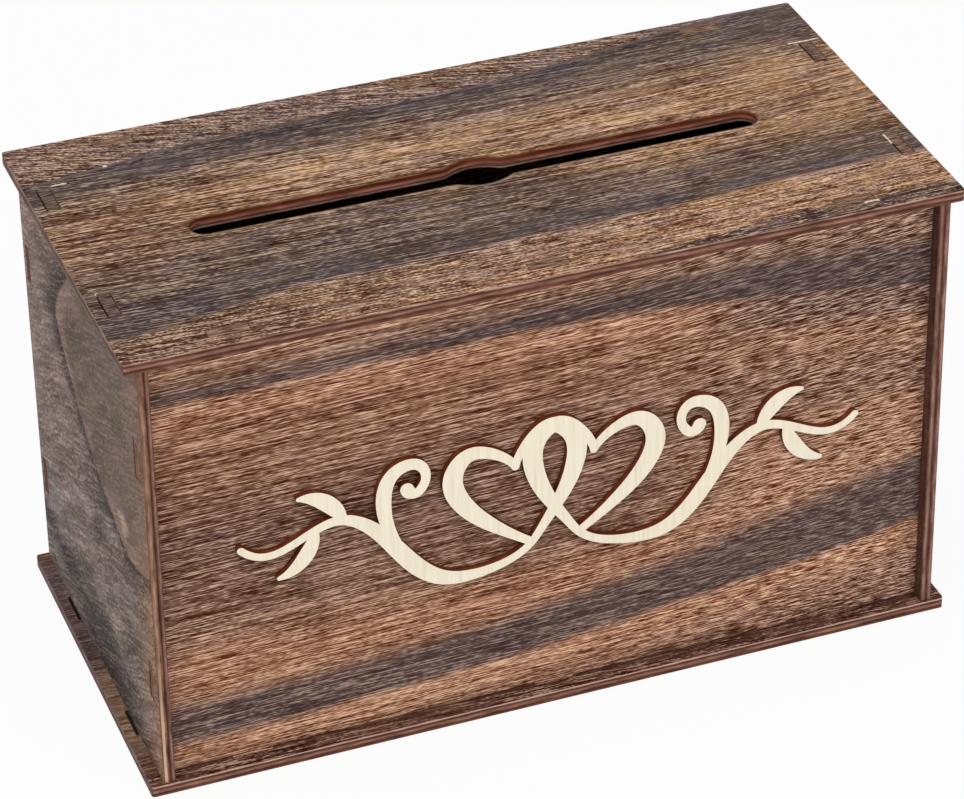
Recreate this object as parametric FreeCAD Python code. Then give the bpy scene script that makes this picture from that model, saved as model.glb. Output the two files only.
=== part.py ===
import FreeCAD, Part
import math
import os

# A card box that slots together from six laser cut boards, with a thin wooden
# ornament glued on its front. Millimetres, +Z up, front towards -Y, origin on
# the underside of the base at its middle.

# Board and outer panels
board = 3.5                 # thickness of the plywood
panel_length = 250.0        # base and lid, left to right
panel_depth = 124.0         # base and lid, front to back
panel_corner_radius = 1.0   # rounded plan corners of base and lid
wall_height = 139.4         # clear height of the walls between base and lid

# Walls
side_overhang = 3.9         # base and lid reach past the side panels' outer faces
end_overhang = 1.0          # base and lid reach past the side panels' front and back edges
front_recess = 4.0          # front panel set back from the side panels' front edges
back_recess = 3.0           # back panel set in from the side panels' back edges

# Tabs and mortises
tab_width = 12.0            # every tab, measured along its edge
long_tab_inset = 24.5       # outer tab centre from the end of the front and back panels
side_tab_inset = 30.5       # tab centre from the front and back edges of the side panels
upright_tab_inset = 32.2    # tab centre from the foot and head of the front and back panels
tab_shy = 0.15              # tab ends stay this far below the face they come out of
fixed_gap = 0.2             # gap round a tab in the base and in the side panels
lid_gap = 0.3               # gap round a tab in the lid, which lifts off
lid_seat_gap = 0.1          # lid underside above the heads of the walls

# Card slot
slot_width = 9.4            # front to back
slot_end_margin = 38.0      # end of the slot from the end of the lid
finger_relief = 2.9         # the finger hole reaches this far past the slot on each side
finger_arc_radius = 14.0    # curve of the finger hole's front and back
finger_blend = 3.0          # rounding where the finger hole runs into the slot

# Front ornament
ornament_thickness = 2.2
ornament_rise = 72.0        # ornament middle above the base's upper face
ornament_end_margin = 23.5  # ornament tip from the side panel's inner face
stroke_width = 6.0          # broadest part of the ornament's strokes
heart_half_width = 18.5     # heart's middle to the middle of a lobe's outermost stroke
heart_half_height = 19.0    # heart's middle down to its foot
heart_offset = 10.5         # middle of each heart from the ornament's middle
heart_lean = 10.0           # lean of each heart, degrees

# Planes worked out from the sizes above
side_outer = panel_length / 2 - side_overhang
side_inner = side_outer - board
side_front = end_overhang - panel_depth / 2
side_back = panel_depth / 2 - end_overhang
front_face = side_front + front_recess
back_face = side_back - back_recess
floor = board
head = floor + wall_height
lid_under = head + lid_seat_gap
lid_top = lid_under + board
tab_reach = board - tab_shy

long_tab_places = [long_tab_inset - side_inner, 0.0, side_inner - long_tab_inset]
side_tab_places = [side_front + side_tab_inset, side_back - side_tab_inset]
upright_tab_places = [floor + upright_tab_inset, head - upright_tab_inset]


def block(x0, x1, y0, y1, z0, z1):
    """A box between two values on each axis."""
    return Part.makeBox(x1 - x0, y1 - y0, z1 - z0, FreeCAD.Vector(x0, y0, z0))


def plate(bottom):
    """A board the size of the base, with rounded plan corners."""
    half_length = panel_length / 2
    half_depth = panel_depth / 2
    sheet = block(-half_length, half_length, -half_depth, half_depth, bottom, bottom + board)
    uprights = [edge for edge in sheet.Edges if abs(edge.BoundBox.ZLength - board) < 1e-6]
    return sheet.makeFillet(panel_corner_radius, uprights)


def cross_wall_tabs(y0, y1, z0, z1, gap):
    """Tabs, or their mortises when a gap is given, along a front or back panel."""
    half = tab_width / 2 + gap
    return [block(x - half, x + half, y0 - gap, y1 + gap, z0, z1) for x in long_tab_places]


def side_wall_tabs(x0, x1, z0, z1, gap):
    """Tabs, or their mortises when a gap is given, along a side panel."""
    half = tab_width / 2 + gap
    return [block(x0 - gap, x1 + gap, y - half, y + half, z0, z1) for y in side_tab_places]


def wall_tabs(z0, z1, gap):
    """The tabs, or mortises, of all four walls between two heights."""
    shapes = cross_wall_tabs(front_face, front_face + board, z0, z1, gap)
    shapes += cross_wall_tabs(back_face - board, back_face, z0, z1, gap)
    shapes += side_wall_tabs(-side_outer, -side_inner, z0, z1, gap)
    shapes += side_wall_tabs(side_inner, side_outer, z0, z1, gap)
    return shapes


def cross_wall(y0):
    """A front or back panel, with tabs on all four edges."""
    y1 = y0 + board
    sheet = block(-side_inner, side_inner, y0, y1, floor, head)
    tabs = cross_wall_tabs(y0, y1, floor - tab_reach, head + tab_reach, 0.0)
    half = tab_width / 2
    reach = side_inner + tab_reach
    tabs += [block(-reach, reach, y0, y1, z - half, z + half) for z in upright_tab_places]
    return sheet.fuse(tabs).removeSplitter()


def side_wall(x0):
    """A side panel, with tabs up and down and mortises for the front and back panels."""
    x1 = x0 + board
    sheet = block(x0, x1, side_front, side_back, floor, head)
    tabs = side_wall_tabs(x0, x1, floor - tab_reach, head + tab_reach, 0.0)
    half = tab_width / 2 + fixed_gap
    mortises = []
    for z in upright_tab_places:
        for y in (front_face, back_face - board):
            mortises.append(block(x0, x1, y - fixed_gap, y + board + fixed_gap, z - half, z + half))
    return sheet.fuse(tabs).removeSplitter().cut(mortises)


def slot_opening():
    """The card slot with round ends and the finger hole, two flat arcs, blended into its middle."""
    slot_radius = slot_width / 2
    straight = panel_length / 2 - slot_end_margin - slot_radius
    bottom = lid_under
    opening = block(-straight, straight, -slot_radius, slot_radius, bottom, lid_top)
    drums = [Part.makeCylinder(slot_radius, board, FreeCAD.Vector(x, 0, bottom)) for x in (-straight, straight)]
    arc_centre = finger_arc_radius - slot_radius - finger_relief
    back_arc = Part.makeCylinder(finger_arc_radius, board, FreeCAD.Vector(0, -arc_centre, bottom))
    front_arc = Part.makeCylinder(finger_arc_radius, board, FreeCAD.Vector(0, arc_centre, bottom))
    opening = opening.fuse(drums + [back_arc.common(front_arc)]).removeSplitter()
    corner_x = math.sqrt(finger_arc_radius ** 2 - (finger_arc_radius - finger_relief) ** 2)
    corners = []
    for edge in opening.Edges:
        middle = edge.CenterOfMass
        upright = edge.BoundBox.ZLength > board / 2 and abs(abs(middle.y) - slot_radius) < 1e-3
        if upright and abs(abs(middle.x) - corner_x) < 1e-3:
            corners.append(edge)
    return opening.makeFillet(finger_blend, corners)


def flourish(points):
    """A tapering band along a curve through points of place across, place up and width."""
    spine = Part.BSplineCurve()
    spine.interpolate([FreeCAD.Vector(across, 0, up) for across, up, width in points])
    parameters = [spine.parameter(FreeCAD.Vector(across, 0, up)) for across, up, width in points]
    taper = Part.BSplineCurve()
    taper.interpolate(
        Points=[FreeCAD.Vector(width, 0, 0) for across, up, width in points],
        Parameters=parameters,
    )
    steps = 4 * (len(points) - 1)
    near = []
    far = []
    for step in range(steps + 1):
        place = spine.FirstParameter + (spine.LastParameter - spine.FirstParameter) * step / steps
        middle = spine.value(place)
        along = spine.tangent(place)[0]
        half = taper.value(place).x / 2
        out = FreeCAD.Vector(-along.z, 0, along.x) * half
        near.append(middle + out)
        far.append(middle - out)
    start_along = spine.tangent(spine.FirstParameter)[0] * (points[0][2] / 2)
    end_along = spine.tangent(spine.LastParameter)[0] * (points[-1][2] / 2)
    near_edge = Part.BSplineCurve()
    near_edge.interpolate(near)
    far_edge = Part.BSplineCurve()
    far_edge.interpolate(far)
    start_round = Part.Arc(far[0], spine.value(spine.FirstParameter) - start_along, near[0])
    end_round = Part.Arc(near[-1], spine.value(spine.LastParameter) + end_along, far[-1])
    outline = [near_edge.toShape(), end_round.toShape(), far_edge.toShape(), start_round.toShape()]
    face = Part.Face(Part.Wire(Part.__sortEdges__(outline)))
    return face.extrude(FreeCAD.Vector(0, -ornament_thickness, 0))


def sized(shares, half_width):
    """Stroke points from shares of a half width across, of a heart up and of a stroke's width."""
    return [
        (across * half_width, up * heart_half_height, width * stroke_width)
        for across, up, width in shares
    ]


def leaning(points):
    """Points of a heart, leant over and moved out from the ornament's middle."""
    lean = math.radians(heart_lean)
    moved = []
    for across, up, width in points:
        x = across * math.cos(lean) + up * math.sin(lean) + heart_offset
        z = up * math.cos(lean) - across * math.sin(lean)
        moved.append((x, z, width))
    return moved


def ornament():
    """Two linked hearts with a swash, a scroll and two leaves on each side."""
    lobe = [
        (0.0, 0.45, 0.4), (0.3, 0.82, 0.57), (0.7, 0.95, 0.8), (1.0, 0.66, 1.0),
        (0.95, 0.16, 0.97), (0.57, -0.42, 0.7), (0.19, -0.82, 0.47), (0.0, -1.0, 0.43),
    ]
    swash = [
        (0.23, -1.32, 0.53), (0.37, -1.26, 0.8), (0.49, -0.71, 0.9), (0.585, -0.11, 0.73),
        (0.685, 0.18, 0.53), (0.79, 0.05, 0.43), (0.895, -0.16, 0.4), (1.0, 0.03, 0.37),
    ]
    scroll = [
        (0.47, -0.82, 0.4), (0.53, -0.24, 0.57), (0.55, 0.32, 0.77), (0.51, 0.82, 0.7),
        (0.44, 0.87, 0.57), (0.415, 0.58, 0.47), (0.45, 0.37, 0.57), (0.475, 0.47, 0.67),
    ]
    upper_leaf = [(0.675, 0.16, 0.3), (0.71, 0.45, 0.83), (0.765, 0.66, 0.7), (0.815, 0.71, 0.23)]
    lower_leaf = [(0.765, 0.08, 0.3), (0.79, -0.24, 0.8), (0.835, -0.5, 0.63), (0.885, -0.61, 0.23)]
    reach = side_inner - ornament_end_margin
    strokes = [
        leaning(sized(lobe, -heart_half_width)) + sized(swash, reach),
        leaning(sized(lobe, heart_half_width)),
        sized(scroll, reach),
        sized(upper_leaf, reach),
        sized(lower_leaf, reach),
    ]
    mirrored = [[(-across, up, width) for across, up, width in stroke] for stroke in strokes]
    bands = [flourish(stroke) for stroke in strokes + mirrored]
    whole = bands[0].fuse(bands[1:]).removeSplitter()
    whole.translate(FreeCAD.Vector(0, front_face, floor + ornament_rise))
    return whole


base = plate(0.0).cut(wall_tabs(0.0, floor, fixed_gap))
lid = plate(lid_under).cut(wall_tabs(lid_under, lid_top, lid_gap)).cut(slot_opening())

nodes = {
    "base_panel": base,
    "left_side_panel": side_wall(-side_outer),
    "right_side_panel": side_wall(side_inner),
    "front_panel": cross_wall(front_face),
    "back_panel": cross_wall(back_face - board),
    "lid_panel": lid,
    "front_ornament": ornament(),
}

os.makedirs("parts", exist_ok=True)
for name, shape in nodes.items():
    shape.exportStep("parts/" + name + ".step")
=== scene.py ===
import math

import bmesh
import bpy
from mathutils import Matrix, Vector


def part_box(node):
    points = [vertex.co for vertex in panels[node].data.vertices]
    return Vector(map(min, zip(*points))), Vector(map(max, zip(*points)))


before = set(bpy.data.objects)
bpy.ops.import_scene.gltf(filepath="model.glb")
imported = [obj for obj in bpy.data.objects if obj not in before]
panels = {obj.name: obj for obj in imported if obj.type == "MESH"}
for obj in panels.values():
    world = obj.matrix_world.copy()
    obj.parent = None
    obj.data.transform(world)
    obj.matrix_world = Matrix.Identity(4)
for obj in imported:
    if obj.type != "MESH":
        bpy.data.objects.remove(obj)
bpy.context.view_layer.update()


# Base panel. A rectangle of three-ply board faced with walnut veneer, laser cut to
# shape with round plan corners. The walls' foot tabs are pressed into its mortises.
class Tone:
    """A number, colour or direction in a finish; sums on it add the nodes that work them out."""

    def __init__(self, tree, socket=None):
        self.tree = tree
        self.socket = socket

    def node(self, kind, settings=(), inputs=(), result=0):
        made = self.tree.nodes.new("ShaderNode" + kind)
        for name, value in dict(settings).items():
            if name == "stops":
                ramp = made.color_ramp
                for place, colour in value[len(ramp.elements):]:
                    ramp.elements.new(place)
                for element, (place, colour) in zip(ramp.elements, value):
                    element.position = place
                    element.color = colour
            else:
                setattr(made, name, value)
        for place, value in dict(inputs).items():
            if isinstance(value, Tone):
                self.tree.links.new(value.socket, made.inputs[place])
            else:
                made.inputs[place].default_value = value
        return Tone(self.tree, made.outputs[result] if made.outputs else None)

    def sum(self, operation, *values):
        return self.node("Math", {"operation": operation}, enumerate(values))

    def __add__(self, other):
        return self.sum("ADD", self, other)

    def __sub__(self, other):
        return self.sum("SUBTRACT", self, other)

    def __rsub__(self, other):
        return self.sum("SUBTRACT", other, self)

    def __mul__(self, other):
        return self.sum("MULTIPLY", self, other)

    def __truediv__(self, other):
        return self.sum("DIVIDE", self, other)

    def __pow__(self, other):
        return self.sum("POWER", self, other)

    def __abs__(self):
        return self.sum("ABSOLUTE", self)

    __radd__ = __add__
    __rmul__ = __mul__

    def least(self, other):
        return self.sum("MINIMUM", self, other)

    def most(self, other):
        return self.sum("MAXIMUM", self, other)

    def rise(self, low, high):
        """A soft step from 0 at low to 1 at high."""
        settings = {"interpolation_type": "SMOOTHSTEP"}
        return self.node("MapRange", settings, {0: self, 1: low, 2: high, 3: 0.0, 4: 1.0})

    def within(self, start, full, fade, end):
        """1 from full to fade, with a soft step up from start and one down to end."""
        return self.rise(start, full) * self.rise(end, fade)

    def painted(self, low, high, stops):
        """A colour read from stops that are set out between low and high."""
        placed = [((place - low) / (high - low), stain(*colour)) for place, colour in stops]
        share = self.node("MapRange", {}, {0: self, 1: low, 2: high, 3: 0.0, 4: 1.0})
        return self.node("ValToRGB", {"stops": placed}, {0: share})

    def under(self, share, colour):
        """This colour with a share of another laid over it."""
        settings = {"data_type": "RGBA"}
        over = colour if isinstance(colour, Tone) else stain(*colour)
        return self.node("Mix", settings, {0: share, 6: self, 7: over}, 2)

    def shaded(self, share, *factors):
        """This colour with a share of it multiplied, channel by channel."""
        settings = {"data_type": "RGBA", "blend_type": "MULTIPLY"}
        return self.node("Mix", settings, {0: share, 6: self, 7: tuple(factors) + (1.0,)}, 2)


def stain(red, green, blue):
    """A colour as it looks, from 0 to 255, made ready for a finish."""
    shares = [value / 255 for value in (red, green, blue)]
    return tuple(s / 12.92 if s <= 0.04045 else ((s + 0.055) / 1.055) ** 2.4 for s in shares) + (1.0,)


def corners(node):
    """The lowest and highest corners of a board in millimetres, as the frame gives them."""
    return [corner * 1000.0 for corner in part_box(node)]


base_low, base_high = corners("base_panel")
half_length = base_high.x
half_depth = base_high.y
board = base_high.z - base_low.z
side_outer = corners("right_side_panel")[1].x
side_inner = side_outer - board
front_face = corners("front_panel")[0].y
back_face = corners("back_panel")[1].y
room_middle = (front_face + back_face) / 2
room_half = (back_face - front_face) / 2 - board
tab_half = 6.0        # half the width of a tab
tab_gap = 0.2         # gap round a tab in its mortise
side_tab_y = 30.5     # a side panel's tabs from the middle of the box
gap_shadow_half = 0.5      # half the width of the painted shadow of an open gap beside a side panel's tab
rim_depth = 1.4       # beyond the round corners and short of the mortises
face_skin = 0.05      # a face's colour runs this far over its edge
figure_depth = 3.0    # the figure moves on this much for each millimetre into the board


def start_finish(name):
    """A new finish, its shader and the place on the piece in millimetres."""
    finish = bpy.data.materials.new(name)
    finish.use_nodes = True
    shader = finish.node_tree.nodes["Principled BSDF"]
    shader.inputs["Specular IOR Level"].default_value = 0.03
    tone = Tone(finish.node_tree)
    place = tone.node("TexCoord", {}, {}, "Object")
    split = [tone.node("SeparateXYZ", {}, {0: place}, axis) * 1000.0 for axis in range(3)]
    return finish, shader, split


def speckle(along, across, depth, length, width, detail=2.0, roughness=0.5):
    """Noise whose marks are about this long with the grain and this wide across it."""
    place = along.node("CombineXYZ", {}, {0: along / length, 1: across / width, 2: depth})
    inputs = {"Vector": place, "Scale": 1.0, "Detail": detail, "Roughness": roughness}
    return along.node("TexNoise", {"noise_dimensions": "3D"}, inputs)


def veneer(ground, along, across, depth, contrast, length, width, broken=0.0, patchy=1.0):
    """Walnut veneer over a ground colour: dark grooves and pale fibres with the grain, with painted shade
    and highlights on their relief.
    """
    cloud = speckle(along, across, depth + 3.1, length * 3.5, width * 14.0, 2.0, 0.55)
    grain = speckle(along, across, depth + 7.7, length * 4.5, width, 0.0)
    line = speckle(along, across, depth + 13.9, length, width * 0.74, 0.0)
    strand = speckle(along, across, depth + 21.3, length * 0.27, width * 0.75, 0.0)
    relief = grain * (0.34 - broken * 0.24) + line * (broken * 0.3 + 0.36) + strand * (0.3 - broken * 0.06)
    wild = (1.0 - cloud.rise(0.62, 0.3) * 0.35 * patchy) * contrast
    body = ground.shaded(cloud.rise(0.52, 0.7) * contrast * patchy, 0.82, 0.73, 0.68)
    body = body.shaded(cloud.rise(0.46, 0.28) * contrast * patchy, 1.18, 1.17, 1.15)
    groove_and_shade = relief.rise(0.505, 0.4) * wild
    fibre_and_highlight = relief.rise(0.515, 0.63) * wild
    # The grooves carry their own dark colour plus painted shade, and the fibres their pale colour plus a
    # painted highlight of the relief.
    body = body.shaded(groove_and_shade, 0.25, 0.11, 0.05)
    body = body.under(fibre_and_highlight * 0.25, (232, 194, 166)).shaded(fibre_and_highlight, 1.7, 1.8, 1.85)
    return body, relief


def ply_edge(through, along_edge, depth, stops):
    """The laser cut edge of the board: plies across its thickness, scorched unevenly along it."""
    scorch = speckle(along_edge, through, depth + 31.0, 10.0, 1.6, 4.0, 0.65)
    edge = (through + (scorch - 0.5) * 0.6).painted(0.0, board, stops)
    edge = edge.under(scorch.rise(0.49, 0.62) * 0.5, (56, 25, 17))
    return edge.shaded(scorch.rise(0.5, 0.37), 1.4, 1.45, 1.5)


rim_stops = [
    (0.0, (186, 149, 132)), (0.8, (70, 34, 22)), (1.75, (146, 106, 90)),
    (2.6, (82, 46, 33)), (3.5, (116, 82, 71)),
]


def plate_edge(x, y, through, end_stops, mortise):
    """The rim of the base or the lid, with its two ends and its mortise walls coloured apart."""
    end = abs(x).rise(half_length - 0.5, half_length - 0.1)
    edge = ply_edge(through, x + y, 0.0, rim_stops).under(end, ply_edge(through, y, 4.0, end_stops))
    rim = (abs(x) - half_length).most(abs(y) - half_depth)
    return edge.under(rim.rise(0.1 - rim_depth, -rim_depth), mortise)


def cut_edge(through):
    """1 on the cut edges of a board and 0 on its two faces."""
    soft = face_skin * 1.2
    return through.within(face_skin, soft, board - soft, board - face_skin)


def beside_tabs(y):
    """Below 0 alongside the two tabs of a side panel and above 0 past their ends."""
    return abs(abs(y) - side_tab_y) - tab_half - tab_gap


def end_finish(shader, colour, height, shine, bump):
    """Colour, shine and relief brought to the shader."""
    links = colour.tree.links
    links.new(colour.socket, shader.inputs["Base Color"])
    links.new(shine.socket, shader.inputs["Roughness"])
    inputs = {"Strength": bump, "Distance": 0.0003, "Height": height}
    relief = colour.node("Bump", {}, inputs)
    links.new(relief.socket, shader.inputs["Normal"])


def ease_edges(piece, finish):
    """Gives a board its finish and takes the sharpness, a tenth of a millimetre, off its cut edges."""
    piece.data.materials.clear()
    piece.data.materials.append(finish)
    weld = piece.modifiers.new("join", "WELD")
    weld.merge_threshold = 0.000001
    ease = piece.modifiers.new("ease", "BEVEL")
    ease.width = 0.0001
    ease.segments = 2
    ease.limit_method = "ANGLE"
    ease.angle_limit = 0.6
    ease.use_clamp_overlap = True


finish, shader, (x, y, z) = start_finish("base_walnut")
depth = z * figure_depth
wander = (speckle(x, y, depth, 60.0, 18.0) - 0.5) * 8.0
flow = y + x * 0.02 + wander
ground = flow.painted(-half_depth, half_depth, [
    (-62.0, (98, 67, 57)), (-53.0, (98, 68, 58)), (-47.0, (126, 100, 82)), (-20.0, (131, 104, 84)),
    (-6.0, (121, 96, 79)), (-3.0, (88, 70, 66)), (20.0, (94, 76, 74)), (45.0, (97, 80, 78)),
    (62.0, (112, 84, 70)),
])
contrast = y.rise(front_face + 1.0, front_face - 1.0) * 0.5 + 0.5
body, height = veneer(ground, x, flow, depth, contrast, 5.0, 0.5)
# Painted shade: the base is darkened inside the walls, where the box keeps out the light.
shaded_room = (abs(x) - side_inner).most(abs(y - room_middle) - room_half)
body = body.shaded(shaded_room.rise(0.2, -0.2), 0.4, 0.36, 0.34)
# Painted shadow: a dark open gap beside each of the side panels' foot tabs, as if the mortise were wider
# than the tab.
mortise_gap_shadow = (abs(abs(x) - side_outer - gap_shadow_half) - gap_shadow_half).most(beside_tabs(y))
body = body.under(mortise_gap_shadow.rise(0.15, -0.1) * 0.95, (30, 13, 10))
end_stops = [(0.0, (114, 94, 88)), (1.5, (104, 86, 84)), (3.5, (84, 68, 66))]
edge = plate_edge(x, y, board - z, end_stops, (52, 28, 21))
# Painted highlight: a pale line along the top edge of the base's front rim.
arris_highlight = z.rise(2.8, 3.2) * y.rise(1.0 - half_depth, 0.1 - half_depth)
edge = edge.under(arris_highlight * 0.55, (216, 182, 168))
colour = body.under(cut_edge(z), edge)
end_finish(shader, colour, height, 0.66 - height * 0.15, 0.35)
ease_edges(panels["base_panel"], finish)


# Side panels. Two equal boards that stand on the base; their tabs go through the base
# and the lid, and the front and back panels' tabs show end on in their mortises.
wall_top = corners("left_side_panel")[1].z
upright_tab_z = 73.2      # halfway between the upper and the lower mortises
upright_tab_reach = 37.5  # a mortise's middle from there
ring_y = -40.0            # middle of the ring in the veneer
ring_z = 112.0
ring_half_depth = 68.0
ring_half_height = 45.0
ring_power = 1.4          # 2 would make it an ellipse, 1 a diamond
ring_scale = 57.0         # about a millimetre of board for each 1 past the ring


def far_face(through):
    """1 on the face of a board that looks into the box and 0 on the rest of it."""
    return through.rise(board - 0.06, board - 0.04)


def tab_ends(edge, x, y, z, colour):
    """A wall's cut edge whose head tabs end dusted and scraped, so that they look like the lid."""
    end = z.rise(wall_top - 0.15, wall_top - 0.05)
    scrape = speckle(x, y, 61.0, 5.0, 0.5, 1.0)
    edge = edge.under(end, colour).shaded(end * scrape.rise(0.5, 0.38), 0.35, 0.22, 0.16)
    return edge.shaded(end * scrape.rise(0.52, 0.66), 1.9, 2.0, 2.0)


left_stops = [
    (0.0, (106, 74, 54)), (1.1, (154, 119, 99)), (2.1, (64, 29, 17)),
    (3.0, (136, 102, 90)), (3.5, (84, 52, 40)),
]
right_stops = [
    (0.0, (112, 82, 74)), (0.6, (148, 111, 100)), (1.6, (78, 39, 29)),
    (2.6, (138, 106, 95)), (3.5, (72, 40, 31)),
]
for name, seed, figure, tab_colour, stops in (
    ("left_side_panel", 0.0, 1.0, (98, 80, 73), left_stops),
    ("right_side_panel", 40.0, 0.35, (114, 91, 78), right_stops),
):
    finish, shader, (x, y, z) = start_finish(name + "_walnut")
    through = side_outer - abs(x)
    depth = through * figure_depth + seed
    wander = (speckle(y, z, depth, 45.0, 22.0) - 0.5) * 10.0
    across = z + y * 0.45 + wander
    blush = speckle(y, across, depth + 9.0, 26.0, 8.0, 3.0, 0.55)
    drift = speckle(y, across, depth + 17.0, 20.0, 10.0, 2.0)
    out_back = (abs(y - ring_y) / ring_half_depth) ** ring_power
    out_up = (abs(z - ring_z + wander * 0.3) / ring_half_height) ** ring_power
    past_ring = ((out_back + out_up) ** (1.0 / ring_power) - 1.0) * ring_scale
    outer = blush.painted(0.3, 0.7, [
        (0.3, (84, 73, 69)), (0.5, (113, 100, 95)), (0.7, (152, 137, 131)),
    ])
    low_back = y.rise(0.0, 40.0) * z.rise(50.0, 30.0)
    outer = outer.under(low_back * 0.4, (118, 112, 112))
    back_light = y.rise(5.0, 50.0) * z.within(35.0, 75.0, 112.0, 132.0)
    outer = outer.under(back_light * 0.6, (132, 115, 108))
    front_shade = y.rise(14.0, -4.0) * z.within(38.0, 50.0, 80.0, 92.0)
    outer = outer.shaded(front_shade, 0.8, 0.79, 0.79)
    inner = blush.painted(0.25, 0.75, [
        (0.25, (98, 84, 77)), (0.5, (105, 90, 82)), (0.75, (114, 98, 90)),
    ])
    lining = y.within(-54.0, -40.0, -34.0, -16.0) * 0.6 + y.rise(0.0, 10.0) * z.rise(92.0, 104.0) * 0.4
    lining = past_ring.rise(-11.0, -4.0) * (lining + 0.16)
    inner = inner.under(lining, (146, 121, 109))
    core = past_ring.rise(1.0, -3.0) * figure
    ground = outer.under(core, inner)
    knot = past_ring.within(-2.4, 0.0, 3.0, 21.0) * z.rise(88.0, 104.0) * figure
    ground = ground.under(knot * 0.75, (82, 73, 71))
    crown = (y - z * 0.3).rise(-20.0, 0.0) * z.rise(116.0, 132.0) * figure
    ground = ground.under(crown * 0.4, (140, 115, 98))
    ground = ground.shaded(drift.rise(0.5, 0.64), 0.83, 0.86, 0.77)
    ground = ground.shaded(drift.rise(0.5, 0.36), 1.19, 1.11, 1.15)
    foot = (z + (blush - 0.5) * 14.0).rise(30.0, 19.0) * (z - y * 0.3).rise(-5.0, 6.0)
    ground = ground.under(foot * y.rise(-58.0, -8.0), (66, 61, 60))
    toe = (z + (blush - 0.5) * 10.0).rise(17.0, 9.0) * y.within(-64.0, -48.0, -20.0, 6.0)
    ground = ground.under(toe * 0.6, (62, 53, 50))
    tan = y.rise(-38.0, -61.0) * (z.rise(120.0, 50.0) * 0.5 + 0.3)
    ground = ground.under(tan, (142, 109, 89))
    vein = past_ring.within(-2.4, -0.6, -0.5, 9.0) * figure
    ground = ground.under(vein * 0.85, (60, 48, 45))
    gleam = abs(y + 36.0) * 0.7 + abs(z - 78.0) + (blush - 0.5) * 12.0
    ground = ground.under(gleam.rise(7.0, 0.0) * figure * 0.75, (180, 152, 137))
    beside_mortise = abs(abs(z - upright_tab_z) - upright_tab_reach) - tab_half - tab_gap * 2
    singe = (abs(y - front_face + 0.2) - 3.6).most(beside_mortise)
    ground = ground.under(singe.rise(0.4, -0.4) * 0.7, (102, 77, 60))
    char = (abs(y - front_face - board - 0.5) - 0.5).most(beside_mortise)
    ground = ground.under(char.rise(0.4, -0.4) * 0.8, (70, 48, 38))
    body, height = veneer(ground, y, across, depth, 0.42 - core * 0.15, 3.0, 1.1)
    # Painted shade: the face looking into the box is darkened, in uneven dark red browns.
    inner_shade = speckle(z, y, depth + 5.0, 12.0, 2.0, 3.0, 0.6)
    inner_shade = inner_shade.painted(0.35, 0.65, [(0.35, (48, 20, 15)), (0.65, (88, 52, 42))])
    body = body.under(far_face(through) * 0.85, inner_shade)
    edge = ply_edge(through, z + y * 0.3, seed, stops)
    cream = z.rise(62.0, 8.0) * through.within(0.3, 0.5, 1.1, 1.3) * x.rise(0.0, -1.0)
    edge = edge.under(cream * 0.7, (226, 192, 160))
    edge = tab_ends(edge, x, y, z, tab_colour)
    colour = body.under(cut_edge(through), edge)
    end_finish(shader, colour, height, 0.66 - height * 0.15, 0.25)
    ease_edges(panels[name], finish)


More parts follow.
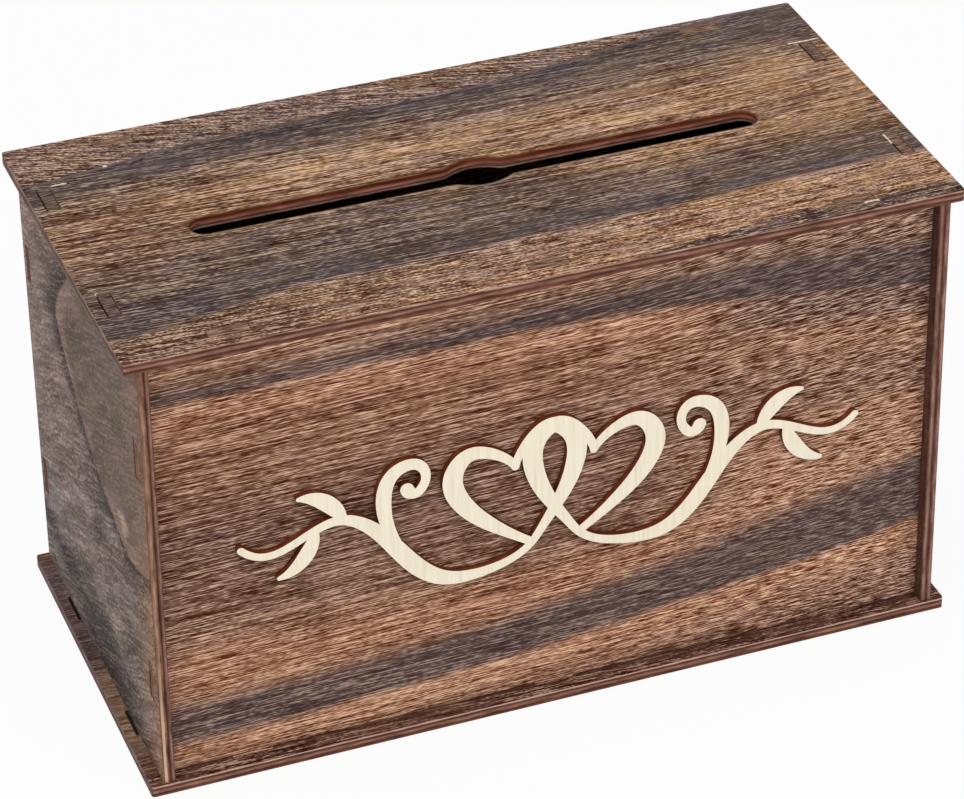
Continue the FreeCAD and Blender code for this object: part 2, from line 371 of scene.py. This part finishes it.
# Front and back panels. Boards set in between the side panels, held by tabs on all four
# edges. Their veneer has a long pointed figure, with dark bands that draw together.
long_tab_x = 93.1   # the outer tabs from the middle one
band_half = 56.0    # the dark bands lie this far below and above the figure's middle
wall_stops = [
    (0.0, (98, 56, 43)), (0.7, (160, 113, 88)), (1.7, (75, 36, 26)),
    (2.7, (148, 103, 82)), (3.5, (68, 34, 26)),
]
for name, face, seed in (("front_panel", front_face, 0.0), ("back_panel", back_face, 60.0)):
    finish, shader, (x, y, z) = start_finish(name + "_walnut")
    through = abs(y - face)
    depth = through * figure_depth + seed
    right = x.rise(-10.0, 75.0)
    run = (x + 94.0) / 188.0
    bend = ((x + 80.0) / 197.0).most(0.0)
    wander = (speckle(x, z, depth, 70.0, 20.0) - 0.5) * 4.0
    low_line = 13.4 + run * (3.6 + run * 12.2) + wander * 0.6
    high_line = 127.5 - bend * bend * bend * 13.5 + wander * 0.6
    flow = (z - low_line) / (high_line - low_line) * (band_half * 2) - band_half
    fray = (speckle(x, z, depth + 2.0, 9.0, 0.8, 3.0, 0.6) - 0.5) * 4.0
    frayed = flow + fray
    ground = frayed.painted(-84.0, 90.0, [
        (-84.0, (134, 100, 84)), (-74.0, (140, 104, 86)), (-62.0, (172, 128, 101)), (-30.0, (155, 112, 88)),
        (-19.0, (127, 94, 78)), (10.0, (109, 79, 68)), (32.0, (134, 96, 76)), (44.0, (138, 98, 77)),
        (50.0, (162, 118, 93)), (67.0, (155, 118, 96)), (76.0, (132, 101, 86)),
    ])
    lift = x.rise(-60.0, 10.0) * flow.within(-8.0, 4.0, 24.0, 36.0)
    ground = ground.under(lift * 0.6, (134, 99, 83))
    low_nose = x.rise(20.0, 70.0) * flow.within(-42.0, -24.0, 0.0, 14.0)
    ground = ground.under(low_nose * 0.85, (166, 124, 99))
    high_nose = x.rise(50.0, 100.0) * flow.within(24.0, 36.0, 46.0, 54.0)
    ground = ground.under(high_nose * 0.6, (154, 115, 93))
    dull = x.rise(36.0, 70.0) * flow.within(38.0, 48.0, 62.0, 70.0)
    ground = ground.under(dull * 0.85, (98, 77, 72))
    low_top = run * run * run * 12.0 - 44.0
    low_band = frayed.rise(-59.0, -55.0) * flow.rise(low_top + right * 3.5 + 5.0, low_top - 3.5)
    high_top = run * run * 11.9 + 61.0
    high_band = (flow + fray * (1.0 - right * 0.7)).rise(54.4, 57.4)
    high_band = high_band * flow.rise(high_top + 6.0, high_top - 5.0)
    band = low_band.most(high_band)
    ground = ground.under(band * 0.95, (82, 68, 68))
    hurried = (x - 10.0).most(0.0)
    along = (x + hurried * hurried * 0.003) * (z.rise(85.0, 45.0) * 0.25 + 1.0)
    ripple = (speckle(x, z, depth + 6.0, 12.0, 4.0) - 0.5) * right * 1.4
    across = z - x * 0.02 - right * z * x * 0.0004 + wander * 0.3 + ripple
    contrast = right * 0.1 - band * (right * 0.2 + 0.25) + 1.01
    body, height = veneer(ground, along, across, depth, contrast, 8.5, 0.42, right, 0.5)
    # Painted shade on the face that looks into the box.
    body = body.shaded(far_face(through), 0.42, 0.36, 0.34)
    # Painted light: the top of the board, under the lid's overhang, is made lighter to cancel the lid's
    # shadow.
    body = body.shaded(z.rise(137.0, 139.2), 1.3, 1.31, 1.31)
    # Darker in irregular patches towards the foot, most towards the right.
    foot_patches = speckle(x, z, depth + 41.0, 16.0, 2.0, 2.0).rise(0.48, 0.6) * z.rise(9.0, 4.5)
    body = body.under(foot_patches * (right * 0.6 + 0.15), (74, 46, 36))
    past_tab = abs(abs(abs(x) - long_tab_x / 2) - long_tab_x / 2) - tab_half
    # Painted shadow: a dark gap between the board's foot and the base, broken by the foot tabs.
    foot_gap_shadow = z.rise(board + 1.1, board + 0.6) * past_tab.rise(-0.2, 0.3)
    body = body.under(foot_gap_shadow * 0.8, (54, 28, 21))
    edge = ply_edge(through, x + z, seed, wall_stops)
    edge = tab_ends(edge, x, y, z, (126, 98, 82))
    back_tabs = abs(x).rise(side_outer - 0.4, side_outer - 0.3) * y.rise(0.0, 1.0)
    edge = edge.under(back_tabs * 0.8, (83, 49, 45))
    colour = body.under(cut_edge(through), edge)
    end_finish(shader, colour, height, 0.66 - height * 0.15, 0.45)
    ease_edges(panels[name], finish)


# Front ornament. Two linked hearts with swashes, cut by laser from thin pale basswood and
# glued on the front panel. The laser has scorched its side walls red brown.
ornament_face = corners("front_ornament")[0].y
finish, shader, (x, y, z) = start_finish("ornament_basswood")
grain = speckle(z + x * 0.12, x, y * 0.4, 22.0, 1.2, 3.0, 0.6)
pale = grain.painted(0.2, 0.8, [
    (0.2, (224, 209, 182)), (0.45, (236, 226, 204)), (0.8, (246, 235, 214)),
])
scorch = speckle(x + z, y, 3.0, 5.0, 1.0, 3.0, 0.6)
burnt = scorch.painted(0.25, 0.75, [
    (0.25, (70, 30, 17)), (0.5, (104, 50, 28)), (0.75, (132, 74, 44)),
])
wall = y.rise(ornament_face + 0.08, ornament_face + 0.15)
colour = pale.under(wall, burnt)
end_finish(shader, colour, grain, 0.6 - grain * 0.1, 0.12)
ease_edges(panels["front_ornament"], finish)


# Lid panel. A board the size of the base with the card slot and its finger hole; its
# mortises drop over the walls' head tabs, and it lifts straight off.
lid_top = corners("lid_panel")[1].z
slot_margin = 38.0      # end of the slot from the end of the lid
slot_radius = 4.7       # half the slot's width, and its round ends
slot_straight = half_length - slot_margin - slot_radius
finger_radius = 14.0    # curve of the finger hole's front and back
finger_relief = 2.9     # the finger hole reaches this far past the slot
left_gap_x = -side_outer - 0.4
right_gap_x = side_inner - 0.5
gap_half = 0.22         # half the width of the painted shadow in the gap beside a side panel's tab
figure_half = 42.5      # the dark rings lie this far before and behind the figure's middle
finish, shader, (x, y, z) = start_finish("lid_walnut")
through = lid_top - z
depth = through * figure_depth
wander = (speckle(x, y, depth, 70.0, 20.0) - 0.5) * 3.0
wander = wander + (speckle(x, y, depth + 5.0, 22.0, 6.0) - 0.5) * 1.2
left_dip = x.rise(-50.0, -135.0)
right_lift = x.rise(5.0, 115.0)
back_line = right_lift * 13.0 - left_dip * 8.0 + 46.8 + wander
front_line = right_lift * 4.0 - left_dip * 10.0 - 38.3 + wander
flow = (y - front_line) / (back_line - front_line) * (figure_half * 2) - figure_half
sweep = x.rise(0.0, 50.0) * 14.0 + x.rise(55.0, 110.0) * 4.0
fray = (speckle(x, y, depth + 2.0, 9.0, 0.8, 3.0, 0.6) - 0.5) * 3.0
frayed = flow + flow.within(-42.0, -30.0, -25.0, 45.0) * sweep + fray
ground = frayed.painted(-70.0, 70.0, [
    (-70.0, (150, 114, 91)), (-46.0, (132, 103, 84)), (-42.3, (78, 66, 66)), (-32.0, (95, 79, 72)),
    (-13.0, (100, 80, 69)), (-6.0, (131, 101, 78)), (16.0, (152, 119, 94)), (22.0, (138, 108, 86)),
    (33.0, (97, 81, 74)), (42.0, (73, 64, 65)), (45.0, (118, 96, 86)), (70.0, (128, 101, 88)),
])
gold = frayed.within(-10.0, -3.0, 18.0, 32.0)
front_strip = flow.rise(-43.5, -45.0)
back_strip = flow.rise(42.4, 44.0)
ground = ground.shaded(x.rise(-45.0, -105.0) * gold.most(front_strip), 0.64, 0.58, 0.57)
left_ring = x.rise(-60.0, -110.0) * flow.within(-44.0, -42.5, -36.0, -24.0)
ground = ground.under(left_ring * 0.6, (76, 65, 65))
for patch, factors in (
    (x.rise(0.0, -45.0) * flow.rise(-14.0, -22.0), (0.88, 0.9, 0.92)),
    (x.rise(-5.0, -45.0) * flow.within(17.0, 23.0, 48.0, 56.0), (0.84, 0.86, 0.9)),
    (x.rise(64.0, 92.0) * flow.within(14.0, 21.0, 30.0, 36.0), (0.72, 0.75, 0.84)),
    (x.rise(50.0, 110.0) * flow.rise(28.0, 35.0), (1.13, 1.11, 1.11)),
):
    ground = ground.shaded(patch, *factors)
past_streak = abs(y + 5.0) + fray
shadow = x.within(-106.0, -96.0, -54.0, -38.0) * past_streak.rise(7.0, 3.0)
ground = ground.shaded(shadow, 0.86, 0.88, 0.9)
streak = x.rise(-92.0, -112.0) * past_streak.rise(6.0, 2.0)
ground = ground.under(streak * 0.6, (142, 113, 92))
ground = ground.under(x.rise(10.0, 60.0) * gold * 0.35, (164, 129, 102))
ground = ground.under(x.rise(0.0, 60.0) * front_strip * 0.7, (160, 124, 98))
dark_corner = x.rise(-10.0, 90.0) * 8.5 - 63.0 - y + fray
ground = ground.under(dark_corner.rise(-1.0, 1.5) * x.rise(0.0, 40.0) * 0.9, (84, 68, 65))
smudge = (abs(abs(y) - 31.0) - 5.0).most(x + side_outer + 0.8)
ground = ground.under(smudge.rise(0.8, -0.8) * 0.5, (80, 68, 70))
tint = speckle(x, y, depth + 27.5, 14.0, 5.0, 1.0)
ground = ground.shaded(tint.rise(0.5, 0.64), 1.05, 1.02, 0.87).shaded(tint.rise(0.5, 0.36), 0.95, 0.97, 1.1)
slant = back_strip * 0.27
along = (x - y * slant) * (back_strip.most(front_strip) * 0.7 + 1.0)
across = y - x * x * 0.0002 + x * slant + wander * 0.5
quiet = (frayed.rise(30.0, 36.0) + frayed.rise(-28.0, -34.0)) * flow.rise(-44.0, -42.5) * (1.0 - back_strip)
contrast = back_strip * 0.3 + front_strip * 0.2 + gold * 0.15 - quiet * 0.25 - x * 0.001 + 0.97
body, height = veneer(ground, along, across, depth, contrast, 6.5, 0.56)
# Painted shade on the lid's underside.
body = body.shaded(far_face(through), 0.45, 0.4, 0.38)
gap_middle = (left_gap_x + right_gap_x) / 2
gap_reach = (right_gap_x - left_gap_x) / 2
# Painted shadow: dark gaps in the lid's mortises beside the side panels' head tabs.
side_gap_shadow = (abs(abs(x - gap_middle) - gap_reach) - gap_half).most(beside_tabs(y))
body = body.under(side_gap_shadow.rise(0.12, -0.1) * 0.95, (22, 11, 9))
# Pale chips at the tabs and the lid's edge, listed one by one: partly splinters, partly painted highlights
# along the mortise edges.
chip_glint_noise = speckle(x, y, depth + 50.0, 1.5, 1.5, 1.0) - 0.5
for chip_glint_x, chip_glint_y, half_x, half_y in (
    (119.0, 37.2, 5.0, 0.3), (117.1, -27.0, 0.3, 2.8), (-121.2, -24.6, 0.3, 0.8), (-99.3, 43.0, 0.5, 0.6),
    (-114.5, 37.6, 2.4, 0.25), (95.0, 56.2, 4.0, 0.25), (97.5, -57.6, 2.2, 0.4), (93.0, -54.3, 1.4, 0.3),
):
    patch = (abs(x - chip_glint_x) - half_x).most(abs(y - chip_glint_y) - half_y) + chip_glint_noise
    body = body.under(patch.rise(0.15, -0.1) * 0.85, (236, 217, 198))
past_straight = (abs(x) - slot_straight).most(0.0)
past_slot = (past_straight * past_straight + y * y) ** 0.5 - slot_radius
from_centre = abs(y) + finger_radius - slot_radius - finger_relief
past_finger = (x * x + from_centre * from_centre) ** 0.5 - finger_radius
halo = past_slot.least(past_finger) + chip_glint_noise * 0.8
far_side = y.rise(-3.0, 0.0)
near_side = y.rise(0.0, -3.0)
body = body.under(halo.rise(1.5, 0.0) * far_side * 0.75, (84, 43, 28))
# Painted highlight: a pale line just back from the slot's near edge.
body = body.under(halo.rise(1.2, 0.6) * near_side * 0.35, (176, 152, 134))
# Painted shade: a dark line at the slot's near edge, widening the slot's dark mouth.
body = body.under(halo.rise(0.5, 0.2) * near_side * 0.75, (36, 20, 15))
end_stops = [(0.0, (138, 112, 97)), (1.9, (78, 56, 46)), (3.5, (122, 102, 92))]
# Painted light: the lid's mortise walls are made pale, to take the shade out of the narrow gaps round the
# tabs.
edge = plate_edge(x, y, through, end_stops, (150, 122, 104))
# The slot's wall: scorched plies, with a painted highlight near its foot and painted shade, nearly black,
# at the foot.
slot_wall_and_shade = ply_edge(through, x + y, 5.0, [
    (0.0, (112, 64, 42)), (0.6, (92, 42, 24)), (1.1, (104, 50, 32)), (1.9, (166, 110, 91)),
    (2.65, (84, 46, 35)), (3.1, (162, 130, 121)), (3.5, (14, 6, 5)),
])
edge = edge.under(abs(y).rise(20.0, 18.0) * abs(x).rise(102.0, 100.0), slot_wall_and_shade)
colour = body.under(cut_edge(through), edge)
end_finish(shader, colour, height, 0.62 - height * 0.15, 0.4)
ease_edges(panels["lid_panel"], finish)


# Floor. A plain white sheet that the box stands on and that runs out of sight behind it.
# It looks white to the eye, and the box's shadow on it shows faintly.
def in_sight(tone):
    """1 where the eye meets the backdrop, also mirrored or through glass, and 0 for its light."""
    straight = tone.node("LightPath", {}, {}, "Is Camera Ray")
    mirrored = tone.node("LightPath", {}, {}, "Is Glossy Ray")
    through = tone.node("LightPath", {}, {}, "Is Transmission Ray")
    return straight.most(mirrored).most(through)


white = (1.0, 1.0, 1.0, 1.0)
floor_half = 6.0
floor_drop = 0.0002   # keeps the sheet from showing through the base's underside
floor_mesh = bpy.data.meshes.new("floor")
sheet = bmesh.new()
bmesh.ops.create_grid(sheet, x_segments=1, y_segments=1, size=floor_half)
bmesh.ops.translate(sheet, vec=(0.0, 0.0, -floor_drop), verts=sheet.verts)
sheet.to_mesh(floor_mesh)
sheet.free()
floor = bpy.data.objects.new("floor", floor_mesh)
bpy.context.scene.collection.objects.link(floor)
finish = bpy.data.materials.new("white_sheet")
finish.use_nodes = True
finish.node_tree.nodes.clear()
tone = Tone(finish.node_tree)
matt = tone.node("BsdfDiffuse", {}, {"Color": (0.82, 0.82, 0.82, 1.0)})
glow = tone.node("Emission", {}, {"Color": white, "Strength": 1.0})
mixed = tone.node("MixShader", {}, {0: in_sight(tone) * 0.92, 1: matt, 2: glow})
tone.node("OutputMaterial", {}, {0: mixed})
floor_mesh.materials.append(finish)


# Studio. A soft overhead lamp and two softer ones, in front and at the left, in an even
# white surround that gives less light than it shows.
surround = bpy.data.worlds.new("surround")
surround.use_nodes = True
surround.node_tree.nodes.clear()
tone = Tone(surround.node_tree)
light = tone.node("Background", {}, {"Color": white, "Strength": 0.47})
backdrop = tone.node("Background", {}, {"Color": white, "Strength": 1.0})
mixed = tone.node("MixShader", {}, {0: in_sight(tone), 1: light, 2: backdrop})
tone.node("OutputWorld", {}, {0: mixed})
bpy.context.scene.world = surround
for name, place, size, power in (
    ("overhead_lamp", (-0.5, -0.4, 1.8), 1.6, 17.0),
    ("front_lamp", (0.6, -1.8, 0.9), 1.4, 13.5),
    ("side_lamp", (-1.7, -0.5, 0.7), 1.2, 6.0),
):
    lamp = bpy.data.lights.new(name, "AREA")
    lamp.size = size
    lamp.energy = power
    holder = bpy.data.objects.new(name, lamp)
    holder.location = place
    holder.rotation_mode = "QUATERNION"
    holder.rotation_quaternion = (-Vector(place)).to_track_quat("-Z", "Y")
    bpy.context.scene.collection.objects.link(holder)


# Camera. It stands before the left end of the box and looks down on it through a long lens,
# turned as the picture was taken.
eye = (-0.35538, -0.97339, 0.74284)
turns = (57.9805, 0.4633, -21.1419)   # degrees
camera = bpy.data.cameras.new("camera")
camera.sensor_width = 36.0
camera.lens = 155.016
camera.shift_x = -0.05
camera.shift_y = -0.08
stand = bpy.data.objects.new("camera", camera)
stand.location = eye
stand.rotation_euler = [math.radians(turn) for turn in turns]
bpy.context.scene.collection.objects.link(stand)
bpy.context.scene.camera = stand
bpy.context.scene.view_settings.view_transform = "Standard"
